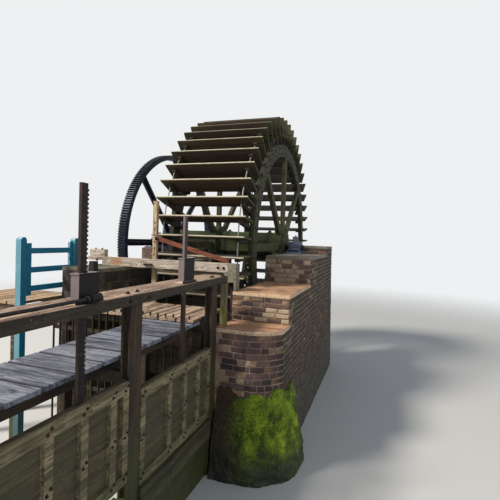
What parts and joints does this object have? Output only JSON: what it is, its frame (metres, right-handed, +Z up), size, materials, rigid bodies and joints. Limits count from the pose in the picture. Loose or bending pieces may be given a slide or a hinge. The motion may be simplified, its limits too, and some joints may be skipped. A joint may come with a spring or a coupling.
{
  "type": "watermill wheel and sluice",
  "caption": "Timber paddle wheel with a ring gear in a masonry race, with its spill sluice, race gate, walkway, decks and wicket.",
  "frame": {"origin": "middle of the object's box at the level of the race bed, where the masonry, posts and piles end", "axes": "+X along the wheel's axle towards the river side, +Y downstream along the race, +Z up"},
  "size_m": [5.435, 11.2347, 6.1407],
  "materials": {
    "masonry": "rough",
    "wall_stone": "rough",
    "ledge_tile": "rough",
    "mossy_footing": "rough",
    "mossy_timber": "rough",
    "paddle_timber": "rough",
    "dark_timber": "rough",
    "beam_timber": "rough",
    "deck_timber": "rough",
    "grey_boards": "rough",
    "red_timber": "rough",
    "teal_paint": "painted",
    "gear_iron": "rough",
    "plain_iron": "rough",
    "housing_iron": "rough"
  },
  "bodies": {
    "structure": {"river_pier": "masonry", "outer_pier": "masonry", "race_wall": "wall_stone", "race_wall_coping": "wall_stone", "beam_end_block": "wall_stone", "rear_coping": "wall_stone", "plinth_cap": "wall_stone", "low_ledge_slab": "ledge_tile", "high_ledge_slab": "ledge_tile", "nose_footing": "mossy_footing", "sluice_posts": "dark_timber", "sluice_sill": "dark_timber", "race_gate_guides": "dark_timber", "walkway_frame": "dark_timber", "race_deck_beams": "dark_timber", "wall_corner_post": "dark_timber", "beam_end_post": "dark_timber", "head_beam_near": "beam_timber", "head_beam_far": "beam_timber", "race_beam": "beam_timber", "beam_end_timber": "beam_timber", "race_deck_boards": "deck_timber", "bank_deck_boards": "deck_timber", "bank_deck_frame": "deck_timber", "walkway_boards": "grey_boards", "wicket_posts": "teal_paint", "bearings": "plain_iron", "shaft_bracket": "plain_iron", "stem_guide": "plain_iron", "trash_rack": "plain_iron", "rack_housing_1": "housing_iron", "rack_housing_2": "housing_iron"},
    "wheel": {"wheel_axle": "mossy_timber", "axle_irons": "plain_iron", "wheel_hubs": "mossy_timber", "river_rim": "mossy_timber", "inner_rim": "mossy_timber", "river_arms": "mossy_timber", "inner_arms": "mossy_timber", "paddles": "paddle_timber", "paddle_starts": "paddle_timber", "tie_rods": "plain_iron", "gear_spider": "gear_iron", "gear_rim": "gear_iron", "gear_teeth": "gear_iron"},
    "spill_gate_near": {"spill_gate_1": "dark_timber", "rack_1": "plain_iron"},
    "spill_gate_far": {"spill_gate_2": "dark_timber", "rack_2": "plain_iron"},
    "shaft": {"drive_shaft": "plain_iron"},
    "race_gate": {"race_gate_stem": "beam_timber", "race_gate_leaf": "dark_timber"},
    "prop": {"prop_bar": "red_timber"},
    "wicket": {"wicket_gate": "teal_paint"}
  },
  "joints": [
    {"name": "wheel_spin", "type": "hinge", "parent": "structure", "child": "wheel", "pos_m": [0, 2.624, 3.145], "axis": [1, 0, 0], "continuous": true},
    {"name": "spill_gate_near_lift", "type": "slide", "parent": "structure", "child": "spill_gate_near", "axis": [0, 0, 1], "range_m": [-0.15, 0.45]},
    {"name": "spill_gate_far_lift", "type": "slide", "parent": "structure", "child": "spill_gate_far", "axis": [0, 0, 1], "range_m": [0, 0.6]},
    {"name": "drive_shaft_turn", "type": "hinge", "parent": "structure", "child": "shaft", "pos_m": [1.56, -4.9, 2.79], "axis": [0, 1, 0], "range_deg": [-350, 1040]},
    {"name": "race_gate_lift", "type": "slide", "parent": "structure", "child": "race_gate", "axis": [0, 0, 1], "range_m": [0, 0.3]},
    {"name": "prop_bar_swing", "type": "hinge", "parent": "race_gate", "child": "prop", "pos_m": [0.015, -0.781, 3.26], "axis": [0, 1, 0], "range_deg": [0, 13]},
    {"name": "wicket_swing", "type": "hinge", "parent": "structure", "child": "wicket", "pos_m": [-1.358, -2.247, 2.8], "axis": [0, 0, 1], "range_deg": [0, 90]}
  ],
  "couplings": [
    {"joint": "drive_shaft_turn", "follows": "spill_gate_near_lift", "rad_per_m": 40},
    {"joint": "prop_bar_swing", "follows": "race_gate_lift", "rad_per_m": 0.745}
  ]
}
